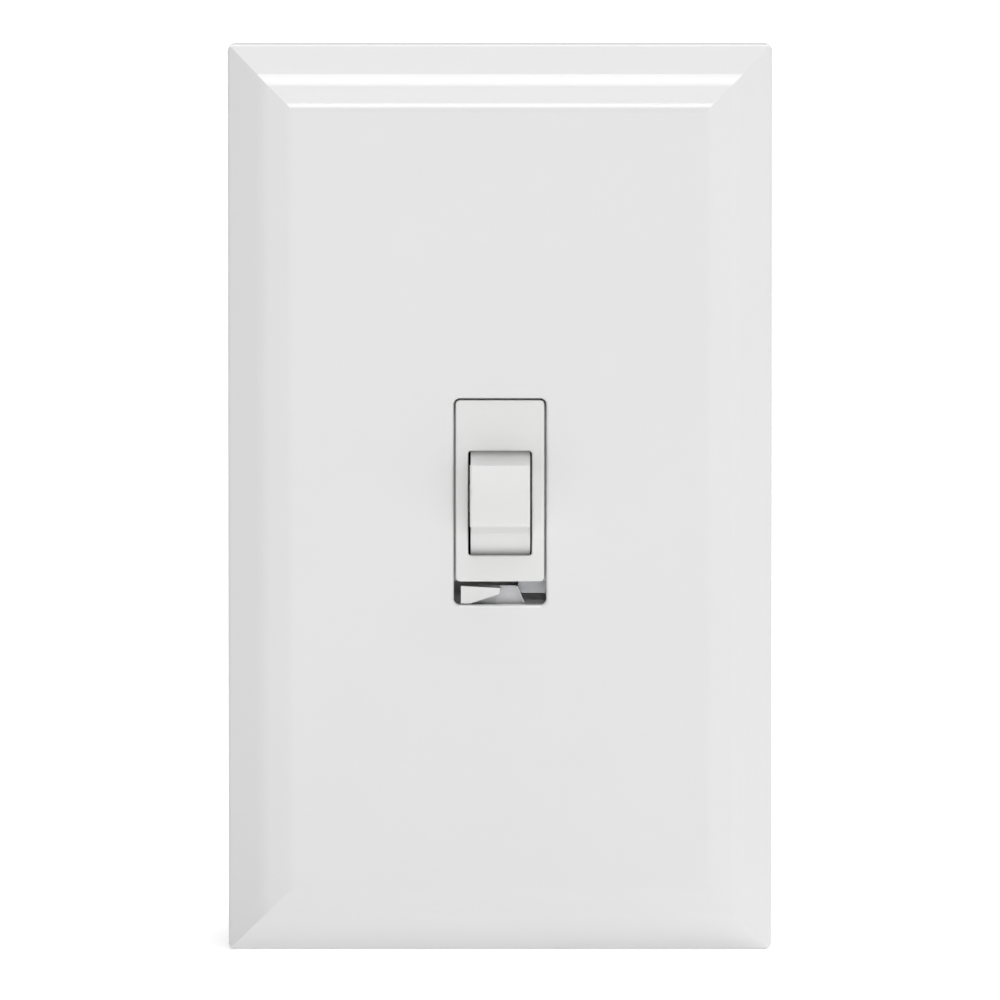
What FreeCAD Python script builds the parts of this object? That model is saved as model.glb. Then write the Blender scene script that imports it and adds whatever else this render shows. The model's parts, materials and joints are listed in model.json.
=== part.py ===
import FreeCAD, Part
import math
import os

# Toggle wall switch: a self-contained in-wall switch under a screwless bevelled cover plate.
# Millimetres. Origin at the centre of the cover plate on the wall plane.
# +Z up, +X right as seen from the room, -Y towards the room, +Y into the wall.

V = FreeCAD.Vector
X_AXIS = V(1, 0, 0)
Y_AXIS = V(0, 1, 0)

# Cover plate
PLATE_W = 69.85
PLATE_H = 116.6
PLATE_DEPTH = 5.8
PLATE_CORNER_R = 1.0
BEVEL_RIM = (0.0, 2.0)
BEVEL_BREAK = (4.475, 4.92)
BEVEL_INNER = (8.0, 5.8)
BEVEL_RIM_R = 0.8
BEVEL_BREAK_R = 5.0
BEVEL_INNER_R = 4.5
PLATE_WALL = 1.8
CAVITY_RIM_H = 1.4
CAVITY_INSET = 6.0
CAVITY_H = 4.1
OPENING_W = 11.88
OPENING_Z = (-13.55, 12.98)
OPENING_R = 0.8
OPENING_EDGE_R = 0.4
PEG_R = 1.6
PEG_X = 26.0
PEG_Z = 48.0
PEG_TIP_Y = -0.3
PEG_HOLE_R = 1.7
FLANGE_HOLE_Y = (-3.0, 1.0)
STIFFENER_X = 19.0
STIFFENER_T = 1.2
STIFFENER_HALF_L = 46.0
STIFFENER_TIP_Y = -2.6
STIFFENER_OVERLAP = 0.3

# Front housing
FLANGE_W = 61.0
FLANGE_H = 107.0
FLANGE_T = 2.0
FLANGE_MID_Y = -1.0
FLANGE_R = 3.0
FLANGE_EDGE_R = 0.5
WALL_SCREW_Z = 41.65
WALL_SCREW_HOLE_R = 2.0
BODY_W = 44.0
BODY_H = 76.0
BODY_WALL = 1.8
BODY_CORNER_R = 2.5
SPLIT_Y = 13.0
REAR_Y = 38.0
ISLAND_HALF_W = 13.0
ISLAND_Z = (-17.0, 19.0)
ISLAND_FRONT_Y = -3.6
ISLAND_WALL = 1.8
ISLAND_R = 2.0
ISLAND_EDGE_R = 0.6
BOSS_HALF_W = 5.7
BOSS_Z = (-10.57, 12.76)
BOSS_FRONT_Y = -5.6
BOSS_CORNER_R = 0.6
BOSS_EDGE_R = 0.25
SLOT_HALF_W = 5.9
SLOT_Z = (-13.6, -10.57)
RAMP_OUTLINE = ((-5.02, -11.2), (0.05, -11.45), (-0.1, -12.2), (-3.95, -13.45),
                (-4.25, -13.9), (-5.02, -13.9))
RAMP_TOP_Y = -4.95
RAMP_LOW_Y = -5.35
RAMP_REAR_Y = -2.65
RAMP_CLEAR = 0.15
LATCH_OUTLINE = ((-4.9, -11.3), (2.25, -11.3), (3.2, -13.55), (-4.9, -13.55))
LATCH_Y = (-2.4, -1.9)
LATCH_LIP_Y = -3.3
LATCH_LIP_T = 0.2
WEB_Y = (0.9, 1.7)
WEB_BOTTOM_Z = -13.9

# Toggle
PIVOT_Y = 3.2
PIVOT_Z = -0.5
TOGGLE_TILT = 5.2
HUB_R = 10.1
HUB_X = (-3.76, 3.86)
HUB_CAVITY_R = 10.45
HOLE_HALF_W = 4.08
HOLE_HALF_H = 6.72
HOLE_R = 0.4
HOLE_EDGE_R = 0.25
PAD_FACE_R = 13.1
PAD_CROWN_R = 26.0
PAD_HALF_H = 4.02
PAD_ROUND_R = 0.9
PAD_EDGE_R = 0.3
PAD_HALF_W = 3.86
PAD_T = 1.9
NECK_HALF_W = 3.6
NECK_START = (2.0, 3.0)
NECK_ROOT_R = 8.0
NECK_UNDER = 4.9
NECK_TOP = 3.95
NECK_TIP_HALF_H = 3.85
AXLE_R = 1.75
BEARING_R = 1.80
AXLE_X = (-6.4, 10.4)
CHEEK_X = (4.08, 6.2)
CHEEK_HALF_H = 8.9
CHEEK_REAR_Y = 7.9
FINGER_X = (7.1, 10.1)
FINGER_TIP = (5.0, -6.5)
FINGER_TIP_R = 0.9
FINGER_ROOT_R = 1.7

# Over-centre spring
SPRING_POCKET_R = 2.45
SPRING_SEAT_R = 5.5
SPRING_REAR_Y = 20.0
SPRING_RADIUS = 1.575
SPRING_WIRE_R = 0.2
SPRING_TURNS = 10
SPRING_POINTS = 12
SPRING_LIFT = 0.25

# Bearing bridge and barrier
BRIDGE_Y = (20.0, 22.0)
BRIDGE_HALF_W = 6.2
BRIDGE_HALF_H = 23.0
BRIDGE_FINGER_HALF_H = 1.6
BRIDGE_SCREW_Z = 20.0
BRIDGE_POST_R = 3.0
SPRING_POST_R = 1.15
SPRING_POST_TIP_Y = 16.6
BRIDGE_SCREW_TIP_Y = 11.0
BRIDGE_HOLE_START_Y = 10.5
BRIDGE_FINGER_REACH = 0.9
BRIDGE_FINGER_GAP = 0.12
CORE_HOLE_Y = (10.0, 28.0)
BRIDGE_HEAD_R = 2.4
BRIDGE_HEAD_H = 1.5
BRIDGE_R = 1.5
BRIDGE_STRUT_HALF_H = 3.1
BARRIER_T = 0.8
BARRIER_HALF_W = 14.4
BARRIER_HALF_H = 22.6
BARRIER_R = 1.0

# Contact set
ARM_X = (6.9, 11.1)
ARM_FRONT_Y = 9.18
ARM_T = 0.5
ARM_Z = (-15.5, 14.6)
NEUTRAL_INSET = 1.0
CONTACT_X = 9.0
CONTACT_Z = -13.5
CONTACT_R = 2.0
CONTACT_GAP = 0.08
RIVET_Z = 13.75
RIVET_SHANK_R = 0.7
RIVET_HEAD_R = 1.2
RIVET_HEAD_T = 0.5
RIVET_TAIL_Y = (7.4, 7.95)
RIVET_TAIL_R = 1.25
RIVET_TAIL_HOLE_R = 0.9
SHELF_Y = (8.1, 9.1)
SHELF_Z = (12.9, 18.0)

# Terminals
TERMINAL_Y = (6.3, 7.3)
TERMINAL_X = (6.5, 14.0)
TERMINAL_Z = 27.0
TERMINAL_OUTER_Z = 34.0
LOAD_TOP_Z = -11.0
TERMINAL_SCREW_X = 10.25
TERMINAL_SCREW_R = 1.7
TERMINAL_HEAD_R = 3.3
TERMINAL_HEAD_H = 2.0
TERMINAL_SCREW_TIP_Y = 3.9
WIRE_GAP = 1.2
PRESSURE_HALF = 3.5
PRESSURE_T = 1.0
LEDGE_Z = (22.5, 31.5)
TERMINAL_HOLE_Y = (0.0, 12.0)
LEDGE_HOLE_Y = (3.7, 8.0)

# Strap
STRAP_T = 1.0
STRAP_HALF_W = 11.0
STRAP_Z = (-15.0, 17.0)
LEG_HALF_W = 5.5
LEG_END_Z = 35.5
STRAP_HOLE_HALF_W = 6.5
STRAP_HOLE_Z = (-9.9, 9.3)
STRAP_WINDOW_Z = (-13.9, -12.45)
STRAP_WINDOW_HALF_W = 6.1
STRAP_NOTCH_X = (-6.1, 2.35)
STRAP_TAB_CHAMFER = 0.15
STRAP_SIDE_GAP_HALF_H = 2.6
STRAP_FRONT_Y = (-5.0, -0.5)
STRAP_CUT_Y = (-5.0, 5.0)
STRAP_HOLE_Y = (-1.0, 5.0)
GROUND_SCREW_TIP_Y = -1.0
GROUND_SCREW_Z = -30.0
GROUND_HOLE_START_Y = -1.2

# Rear cover, case screws and cable entries
CASE_SCREWS = ((18.0, 34.0), (-18.0, -34.0), (-18.0, 17.0), (18.0, -17.0))
CASE_POST_R = 2.9
CASE_SCREW_R = 1.2
CASE_HEAD_R = 2.3
CASE_BORE_R = 2.5
CASE_HEAD_H = 1.4
CASE_SCREW_TIP_Y = 5.0
CASE_HOLE_START_Y = 4.0
COVER_EDGE_R = 1.2
ENTRY_X = 11.5
ENTRY_HALF_W = 5.5
ENTRY_Y = (24.0, 30.0)
SADDLE_HALF_W = 8.5
SADDLE_T = 2.5
SADDLE_REACH_Z = 46.5
SADDLE_BOSS_R = 2.2
SADDLE_BOSS_END_Y = 36.5
SADDLE_RIB_T = 1.6
GRIP_R = 0.4
GRIP_PITCH = 3.0
GRIP_INSET = 3.2
BAR_Y = (20.8, 23.6)
BAR_Z = (40.0, 45.0)
BAR_SCREW_OFFSET = 7.1
BAR_SCREW_R = 1.2
BAR_SCREW_TIP_Y = 33.0
BAR_SCREW_HOLE_END_Y = 36.0
BAR_HEAD_R = 2.0
BAR_HEAD_H = 1.6
BAR_EDGE_R = 0.8
BAR_GRIP_R = 0.35
WINDOW_START_Z = 35.0

# Rear cover panels, wire gauge and ejector marks
PANEL_HALF_W = 13.0
PANEL_Z = (-9.0, 25.0)
PANEL_DEPTH = 0.5
PANEL_R = 2.0
GAUGE_X = (-6.0, 6.0)
GAUGE_Z = (-16.2, -14.0)
GAUGE_DEPTH = 0.7
GAUGE_R = 1.0
EJECTOR_PLACES = ((-9.0, -29.5), (9.0, -29.5), (-9.0, 31.0), (9.0, 31.0))
EJECTOR_R = 2.0
EJECTOR_DEPTH = 0.15
SIDE_PANEL_Z = (-24.0, -12.0, 0.0, 12.0, 24.0)
SIDE_PANEL_HALF_H = 3.0
SIDE_PANEL_Y = (19.0, 33.0)
SIDE_PANEL_DEPTH = 0.5

# Swing clamps
SWING_X = 15.0
SWING_Z = 43.5
SWING_SCREW_R = 1.6
SWING_HOLE_R = 1.66
SWING_HEAD_R = 3.0
SWING_HEAD_H = 1.5
SWING_SEAT_Y = -2.1
SWING_TIP_Y = 32.0
WING_Y = (20.0, 28.0)
WING_HUB_R = 4.2
WING_REACH = 11.0
WING_HALF_H = 3.0
WING_ARM_T = 4.0
WING_ARM_R = 1.0
WING_WEB_T = 1.8
WING_WEB_RISE = 2.0
WING_WEB_INSET = 2.0
RING_Y = (29.2, 30.0)
RING_R = 2.7

# Screw heads, as shares of the head's height or radius
HEAD_EDGE = 0.35
RECESS_DEPTH = 0.55
RECESS_REACH = 0.62
RECESS_WIDTH = 0.14

# Shared allowances: gaps, how far cutters run past a face, how far joined shapes run into each other
THREAD_GAP = 0.05
LOOSE_GAP = 0.1
PAST = 1.0
OVERLAP = 0.5
THROUGH_Y = (-20.0, 50.0)
TOUCH = 1e-4


def box(x, y, z):
    """Box between pairs of limits, each given as (low, high)."""
    return Part.makeBox(x[1] - x[0], y[1] - y[0], z[1] - z[0], V(x[0], y[0], z[0]))


def half(size):
    """Symmetric pair of limits."""
    return (-size, size)


def along_x(radius, y, z, x):
    """Cylinder along X through (y, z), between the limits x."""
    return Part.makeCylinder(radius, x[1] - x[0], V(x[0], y, z), X_AXIS)


def along_y(radius, x, z, y):
    """Cylinder along Y through (x, z), between the limits y."""
    return Part.makeCylinder(radius, y[1] - y[0], V(x, y[0], z), Y_AXIS)


def prism(points, direction):
    """Solid swept from a closed outline of points along a direction."""
    return Part.Face(Part.makePolygon(points + [points[0]])).extrude(direction)


def rounded_box(x, y, z, radius):
    """Box whose four edges along Y are rounded."""
    block = box(x, y, z)
    return block.makeFillet(radius, edges_along(block, Y_AXIS))


def edges_along(shape, direction):
    """Straight edges of a shape that run along a direction."""
    found = []
    for edge in shape.Edges:
        if isinstance(edge.Curve, Part.Line):
            run = edge.Vertexes[1].Point.sub(edge.Vertexes[0].Point)
            if run.Length > 0 and abs(abs(run.normalize().dot(direction)) - 1) < TOUCH:
                found.append(edge)
    return found


def edges_at_y(shape, y, limit_x, limit_z):
    """Edges lying at depth y inside a centred window of limit_x by limit_z."""
    found = []
    for edge in shape.Edges:
        bounds = edge.BoundBox
        flat = max(abs(bounds.YMin - y), abs(bounds.YMax - y)) < TOUCH
        inside = abs(bounds.Center.x) < limit_x and abs(bounds.Center.z) < limit_z
        if flat and inside:
            found.append(edge)
    return found


def rim_at(shape, y):
    """Edges lying at depth y."""
    return edges_at_y(shape, y, PLATE_W, PLATE_H)


def join(shapes):
    """One solid from overlapping or touching shapes."""
    return shapes[0].multiFuse(shapes[1:]).removeSplitter()


def group(shapes):
    """Separate solids kept together in one node."""
    return Part.makeCompound(shapes)


def turned(shape, degrees):
    """Shape turned about the toggle's pivot; positive lifts the rear."""
    result = shape.copy()
    result.rotate(V(0, PIVOT_Y, PIVOT_Z), X_AXIS, degrees)
    return result


def half_turn(shape):
    """Shape carried to the opposite corner of the switch."""
    result = shape.copy()
    result.rotate(V(0, 0, 0), Y_AXIS, 180)
    return result


def screw(x, z, seat_y, tip_y, radius, head_radius, head_height):
    """Pan head screw along Y with a cross recess; the head lies beyond the seat, away from the tip."""
    outward = 1 if seat_y > tip_y else -1
    top_y = seat_y + outward * head_height
    shank = along_y(radius, x, z, sorted((tip_y, seat_y)))
    head = along_y(head_radius, x, z, sorted((seat_y, top_y)))
    head = head.makeFillet(HEAD_EDGE * head_height, rim_at(head, top_y))
    recess_y = sorted((top_y, top_y - outward * RECESS_DEPTH * head_height))
    reach = RECESS_REACH * head_radius
    width = RECESS_WIDTH * head_radius
    cross = box((x - reach, x + reach), recess_y, (z - width, z + width))
    cross = cross.fuse(box((x - width, x + width), recess_y, (z - reach, z + reach)))
    return join([shank, head]).cut(cross)


def bevel_points(half_size, lateral):
    """Cross-section of the plate's outside; lateral maps (offset, height) to a point."""
    steps = (BEVEL_RIM, BEVEL_BREAK, BEVEL_INNER)
    low = [lateral(-half_size + inset, height) for inset, height in steps]
    high = [lateral(half_size - inset, height) for inset, height in reversed(steps)]
    return [lateral(-half_size, 0)] + low + high + [lateral(half_size, 0)]


def bevelled_bar(points, sweep):
    """Plate cross-section swept into a bar, its bevel lines softened."""
    bar = prism(points, sweep)
    bar.translate(V(sweep).multiply(-0.5))
    along = V(sweep).normalize()
    for index, radius in ((1, BEVEL_RIM_R), (2, BEVEL_BREAK_R), (3, BEVEL_INNER_R)):
        corners = (points[index], points[len(points) - 1 - index])
        chosen = []
        for edge in edges_along(bar, along):
            middle = edge.CenterOfMass
            for corner in corners:
                across = middle.sub(corner)
                across = across.sub(V(along).multiply(across.dot(along)))
                if across.Length < TOUCH:
                    chosen.append(edge)
        bar = bar.makeFillet(radius, chosen)
    return bar


def cavity_bar(half_size, lateral, sweep):
    """Hollow behind the plate, as a bar of the inner cross-section."""
    outer = half_size - PLATE_WALL
    inner = half_size - CAVITY_INSET
    points = [lateral(-outer, -PAST), lateral(-outer, CAVITY_RIM_H), lateral(-inner, CAVITY_H)]
    points += [lateral(inner, CAVITY_H), lateral(outer, CAVITY_RIM_H), lateral(outer, -PAST)]
    bar = prism(points, sweep)
    bar.translate(V(sweep).multiply(-0.5))
    return bar


def make_wall_plate():
    """Bevelled plate with mitred corners, hollow behind, with four locating pegs."""
    half_w = PLATE_W / 2
    half_h = PLATE_H / 2

    def across_x(offset, height):
        return V(offset, -height, 0)

    def across_z(offset, height):
        return V(0, -height, offset)

    upright = bevelled_bar(bevel_points(half_w, across_x), V(0, 0, 2 * PLATE_H))
    level = bevelled_bar(bevel_points(half_h, across_z), V(2 * PLATE_H, 0, 0))
    outline = rounded_box(half(half_w), (-PLATE_DEPTH, 0), half(half_h), PLATE_CORNER_R)
    shell = upright.common(level).common(outline)
    hollow = cavity_bar(half_w, across_x, V(0, 0, 2 * PLATE_H))
    hollow = hollow.common(cavity_bar(half_h, across_z, V(2 * PLATE_H, 0, 0)))
    opening = rounded_box(half(OPENING_W / 2), (-PLATE_DEPTH - PAST, PAST), OPENING_Z, OPENING_R)
    shell = shell.cut(hollow).cut(opening)
    rim = edges_at_y(shell, -PLATE_DEPTH, OPENING_W, -2 * OPENING_Z[0])
    shell = shell.makeFillet(OPENING_EDGE_R, rim)
    pegs = []
    for x in (-PEG_X, PEG_X):
        for z in (-PEG_Z, PEG_Z):
            pegs.append(along_y(PEG_R, x, z, (-CAVITY_H - OVERLAP, PEG_TIP_Y)))
    stiffeners = []
    for side in (-1, 1):
        middle = side * STIFFENER_X
        across = (middle - STIFFENER_T / 2, middle + STIFFENER_T / 2)
        stiffener_y = (-CAVITY_H - STIFFENER_OVERLAP, STIFFENER_TIP_Y)
        stiffeners.append(box(across, stiffener_y, half(STIFFENER_HALF_L)))
    return join([shell] + pegs + stiffeners)


def make_front_housing():
    """Flange, skirt, hollow island with escutcheon, bearing cheeks, posts and ledges."""
    flange = rounded_box(half(FLANGE_W / 2), (-FLANGE_T, 0), half(FLANGE_H / 2), FLANGE_R)
    flange = flange.makeFillet(FLANGE_EDGE_R, rim_at(flange, -FLANGE_T))
    skirt = rounded_box(half(BODY_W / 2), (-OVERLAP, SPLIT_Y), half(BODY_H / 2), BODY_CORNER_R)
    inner_w = BODY_W / 2 - BODY_WALL
    inner_h = BODY_H / 2 - BODY_WALL
    skirt = skirt.cut(box(half(inner_w), (FLANGE_MID_Y, SPLIT_Y + PAST), half(inner_h)))
    island = rounded_box(half(ISLAND_HALF_W), (ISLAND_FRONT_Y, -OVERLAP), ISLAND_Z, ISLAND_R)
    island = island.makeFillet(ISLAND_EDGE_R, rim_at(island, ISLAND_FRONT_Y))
    boss_y = (BOSS_FRONT_Y, ISLAND_FRONT_Y + PAST)
    boss = rounded_box(half(BOSS_HALF_W), boss_y, BOSS_Z, BOSS_CORNER_R)
    boss = boss.makeFillet(BOSS_EDGE_R, rim_at(boss, BOSS_FRONT_Y))
    hollow_x = half(ISLAND_HALF_W - ISLAND_WALL)
    hollow_z = (ISLAND_Z[0] + ISLAND_WALL, ISLAND_Z[1] - ISLAND_WALL)
    island_hollow = box(hollow_x, (ISLAND_FRONT_Y + ISLAND_WALL, PAST), hollow_z)
    body = join([flange, skirt, island, boss]).cut(island_hollow)

    cheek_z = (PIVOT_Z - CHEEK_HALF_H, PIVOT_Z + CHEEK_HALF_H)
    cheeks = [box(half(CHEEK_X[1]), WEB_Y, (WEB_BOTTOM_Z, cheek_z[0] + OVERLAP))]
    for side in (-1, 1):
        limits = sorted((side * CHEEK_X[0], side * CHEEK_X[1]))
        cheeks.append(box(limits, (ISLAND_FRONT_Y + OVERLAP, CHEEK_REAR_Y), cheek_z))
    posts = []
    for z in (-BRIDGE_SCREW_Z, BRIDGE_SCREW_Z):
        posts.append(along_y(BRIDGE_POST_R, 0, z, (FLANGE_MID_Y, BRIDGE_Y[0])))
    for x, z in CASE_SCREWS:
        posts.append(along_y(CASE_POST_R, x, z, (FLANGE_MID_Y, SPLIT_Y)))
    ledges = []
    for side in (-1, 1):
        for end in (-1, 1):
            limits_x = sorted((side * TERMINAL_X[0], side * TERMINAL_X[1]))
            limits_z = sorted((end * LEDGE_Z[0], end * LEDGE_Z[1]))
            ledges.append(box(limits_x, (FLANGE_MID_Y, TERMINAL_Y[0]), limits_z))
    body = join([body] + cheeks + posts + ledges)

    # Toggle hole, hub cavity and the axle's bearings, open to the rear
    hole_z = (PIVOT_Z - HOLE_HALF_H, PIVOT_Z + HOLE_HALF_H)
    hole = rounded_box(half(HOLE_HALF_W), (BOSS_FRONT_Y - PAST, PAST), hole_z, HOLE_R)
    body = body.cut(hole)
    hole_rim = edges_at_y(body, BOSS_FRONT_Y, HOLE_HALF_W + LOOSE_GAP, HOLE_HALF_H + OVERLAP)
    body = body.makeFillet(HOLE_EDGE_R, hole_rim)
    across_cheeks = half(CHEEK_X[1] + OVERLAP)
    cuts = [along_x(HUB_CAVITY_R, PIVOT_Y, PIVOT_Z, half(CHEEK_X[0]))]
    cuts.append(along_x(BEARING_R, PIVOT_Y, PIVOT_Z, across_cheeks))
    bearing_z = (PIVOT_Z - BEARING_R, PIVOT_Z + BEARING_R)
    cuts.append(box(across_cheeks, (PIVOT_Y, CHEEK_REAR_Y + PAST), bearing_z))
    # Pry slot below the escutcheon
    cuts.append(box(half(SLOT_HALF_W), (ISLAND_FRONT_Y - LOOSE_GAP, 0), SLOT_Z))
    # Screw and peg holes
    bridge_hole_y = (BRIDGE_HOLE_START_Y, BRIDGE_Y[0] + PAST)
    for end in (-1, 1):
        cuts.append(along_y(WALL_SCREW_HOLE_R, 0, end * WALL_SCREW_Z, FLANGE_HOLE_Y))
        cuts.append(along_y(SWING_HOLE_R, end * SWING_X, end * SWING_Z, FLANGE_HOLE_Y))
        cuts.append(along_y(CASE_SCREW_R + THREAD_GAP, 0, end * BRIDGE_SCREW_Z, bridge_hole_y))
        for side in (-1, 1):
            cuts.append(along_y(PEG_HOLE_R, side * PEG_X, end * PEG_Z, FLANGE_HOLE_Y))
            place_x = side * TERMINAL_SCREW_X
            cuts.append(along_y(TERMINAL_SCREW_R + THREAD_GAP, place_x, end * TERMINAL_Z, LEDGE_HOLE_Y))
    for x, z in CASE_SCREWS:
        cuts.append(along_y(CASE_SCREW_R + THREAD_GAP, x, z, (CASE_HOLE_START_Y, SPLIT_Y + PAST)))
    cuts.append(along_y(TERMINAL_SCREW_R + THREAD_GAP, 0, GROUND_SCREW_Z, (GROUND_HOLE_START_Y, PAST)))
    for cut in cuts:
        body = body.cut(cut)
    return join([body, make_pry_ramp()])


def make_pry_ramp():
    """Moulded ramp in the left of the pry slot, leaning back a little towards its top."""
    top_z = RAMP_OUTLINE[0][1]
    low_z = RAMP_OUTLINE[-1][1]
    points = [V(x, RAMP_LOW_Y, z) for x, z in RAMP_OUTLINE]
    ramp = prism(points, V(0, RAMP_REAR_Y - RAMP_LOW_Y, 0))
    lean = [V(0, RAMP_LOW_Y, low_z), V(0, RAMP_TOP_Y, top_z), V(0, RAMP_LOW_Y, top_z)]
    wedge = prism(lean, V(2 * SLOT_HALF_W, 0, 0))
    wedge.translate(V(-SLOT_HALF_W, 0, 0))
    ramp = ramp.cut(wedge)
    # Proud of the island the ramp keeps clear of the cover plate
    under_plate = (low_z - PAST, OPENING_Z[0] + RAMP_CLEAR)
    return ramp.cut(box(half(SLOT_HALF_W), (RAMP_LOW_Y - PAST, ISLAND_FRONT_Y - THREAD_GAP), under_plate))


def lever_section(points):
    """Points given as (reach towards the room, height) from the pivot."""
    return [V(0, PIVOT_Y - reach, PIVOT_Z + height) for reach, height in points]


def make_toggle_lever():
    """Barrel hub with axle, paddle, spring pocket and contact finger."""
    hub = along_x(HUB_R, PIVOT_Y, PIVOT_Z, HUB_X)
    axle = along_x(AXLE_R, PIVOT_Y, PIVOT_Z, AXLE_X)
    under = PAD_FACE_R - PAD_T
    start, start_half_h = NECK_START
    end = under + LOOSE_GAP
    neck_points = [(start, -start_half_h), (NECK_ROOT_R, -NECK_UNDER), (end, -NECK_TIP_HALF_H)]
    neck_points += [(end, NECK_TIP_HALF_H), (NECK_ROOT_R, NECK_TOP), (start, start_half_h)]
    neck = prism(lever_section(neck_points), V(2 * NECK_HALF_W, 0, 0))
    neck.translate(V(-NECK_HALF_W, 0, 0))
    pad_y = (PIVOT_Y - PAD_FACE_R, PIVOT_Y - under)
    pad = box(half(PAD_HALF_W), pad_y, (PIVOT_Z - PAD_HALF_H, PIVOT_Z + PAD_HALF_H))
    pad = pad.common(along_x(PAD_CROWN_R, pad_y[0] + PAD_CROWN_R, PIVOT_Z, half(PAD_HALF_W)))
    sag = PAD_CROWN_R - math.sqrt(PAD_CROWN_R ** 2 - PAD_HALF_H ** 2)
    low_z = PIVOT_Z - PAD_HALF_H
    front = [edge for edge in pad.Edges if edge.BoundBox.YMax < pad_y[0] + sag + TOUCH]
    pad = pad.makeFillet(PAD_ROUND_R, [edge for edge in front if edge.BoundBox.ZMax < low_z + TOUCH])
    front = [edge for edge in pad.Edges if edge.BoundBox.YMax < pad_y[0] + sag + TOUCH]
    front = [edge for edge in front if edge.BoundBox.ZMax > low_z + 2 * PAD_ROUND_R]
    pad = pad.makeFillet(PAD_EDGE_R, front)
    tip = V(0, PIVOT_Y + FINGER_TIP[0], PIVOT_Z + FINGER_TIP[1])
    finger = [along_x(FINGER_ROOT_R, PIVOT_Y, PIVOT_Z, FINGER_X)]
    finger.append(along_x(FINGER_TIP_R, tip.y, tip.z, FINGER_X))
    run = math.hypot(FINGER_TIP[0], FINGER_TIP[1])
    side_y = -FINGER_TIP[1] / run
    side_z = FINGER_TIP[0] / run
    web = []
    for y, z, reach in ((PIVOT_Y, PIVOT_Z, FINGER_ROOT_R), (tip.y, tip.z, FINGER_TIP_R)):
        offset = V(0, side_y * reach, side_z * reach)
        web.append((V(0, y, z).add(offset), V(0, y, z).sub(offset)))
    outline = [web[0][0], web[1][0], web[1][1], web[0][1]]
    blade = prism(outline, V(FINGER_X[1] - FINGER_X[0], 0, 0))
    blade.translate(V(FINGER_X[0], 0, 0))
    pocket = along_y(SPRING_POCKET_R, 0, PIVOT_Z, (PIVOT_Y + SPRING_SEAT_R, PIVOT_Y + HUB_R + PAST))
    lever = join([hub, axle, neck, pad, blade] + finger)
    lever = lever.cut(pocket)
    return turned(lever, -TOGGLE_TILT)


def make_toggle_spring():
    """Coil from the seat in the toggle's hub to the bridge."""
    tilt = math.radians(TOGGLE_TILT)
    seat = SPRING_SEAT_R + SPRING_LIFT
    front = V(0, PIVOT_Y + seat * math.cos(tilt), PIVOT_Z - seat * math.sin(tilt))
    rear = V(0, SPRING_REAR_Y - SPRING_LIFT, PIVOT_Z)
    run = rear.sub(front)
    points = []
    for step in range(SPRING_TURNS * SPRING_POINTS + 1):
        angle = 2 * math.pi * step / SPRING_POINTS
        height = run.Length * step / (SPRING_TURNS * SPRING_POINTS)
        points.append(V(SPRING_RADIUS * math.cos(angle), SPRING_RADIUS * math.sin(angle), height))
    curve = Part.BSplineCurve()
    curve.interpolate(points)
    wire = Part.Wire([curve.toShape()])
    profile = Part.Wire([Part.makeCircle(SPRING_WIRE_R, points[0], curve.tangent(curve.FirstParameter)[0])])
    coil = wire.makePipeShell([profile], True, True)
    coil = coil if isinstance(coil, Part.Solid) else Part.Solid(coil)
    coil.Placement = FreeCAD.Placement(front, FreeCAD.Rotation(V(0, 0, 1), run))
    return coil


def make_bearing_bridge():
    """Cross bar with two fingers that close the bearings, and the spring's post."""
    bar = rounded_box(half(BRIDGE_HALF_W), BRIDGE_Y, half(BRIDGE_HALF_H), BRIDGE_R)
    strut_z = (PIVOT_Z - BRIDGE_STRUT_HALF_H, PIVOT_Z + BRIDGE_STRUT_HALF_H)
    finger_z = (PIVOT_Z - BRIDGE_FINGER_HALF_H, PIVOT_Z + BRIDGE_FINGER_HALF_H)
    parts = [bar, along_y(SPRING_POST_R, 0, PIVOT_Z, (SPRING_POST_TIP_Y, BRIDGE_Y[0] + OVERLAP))]
    for side in (-1, 1):
        limits = sorted((side * (CHEEK_X[0] + BRIDGE_FINGER_GAP), side * CHEEK_X[1]))
        parts.append(box(limits, (PIVOT_Y + BRIDGE_FINGER_REACH, BRIDGE_Y[0] + OVERLAP), finger_z))
        parts.append(box(limits, (CHEEK_REAR_Y + LOOSE_GAP, BRIDGE_Y[0] + OVERLAP), strut_z))
    bridge = join(parts)
    bridge = bridge.cut(along_x(BEARING_R, PIVOT_Y, PIVOT_Z, half(CHEEK_X[1] + PAST)))
    for z in (-BRIDGE_SCREW_Z, BRIDGE_SCREW_Z):
        bridge = bridge.cut(along_y(CASE_SCREW_R + LOOSE_GAP, 0, z, CORE_HOLE_Y))
    return bridge


def make_barrier():
    """Fibre sheet behind the mechanism."""
    sheet_y = (BRIDGE_Y[1], BRIDGE_Y[1] + BARRIER_T)
    sheet = rounded_box(half(BARRIER_HALF_W), sheet_y, half(BARRIER_HALF_H), BARRIER_R)
    for z in (-BRIDGE_SCREW_Z, BRIDGE_SCREW_Z):
        sheet = sheet.cut(along_y(CASE_SCREW_R + LOOSE_GAP, 0, z, CORE_HOLE_Y))
    return sheet


def make_bridge_screws():
    """Two screws through the barrier and the bridge into the housing's posts."""
    screws = []
    for z in (-BRIDGE_SCREW_Z, BRIDGE_SCREW_Z):
        screws.append(screw(0, z, BRIDGE_Y[1] + BARRIER_T, BRIDGE_SCREW_TIP_Y, CASE_SCREW_R,
                            BRIDGE_HEAD_R, BRIDGE_HEAD_H))
    return group(screws)


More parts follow.
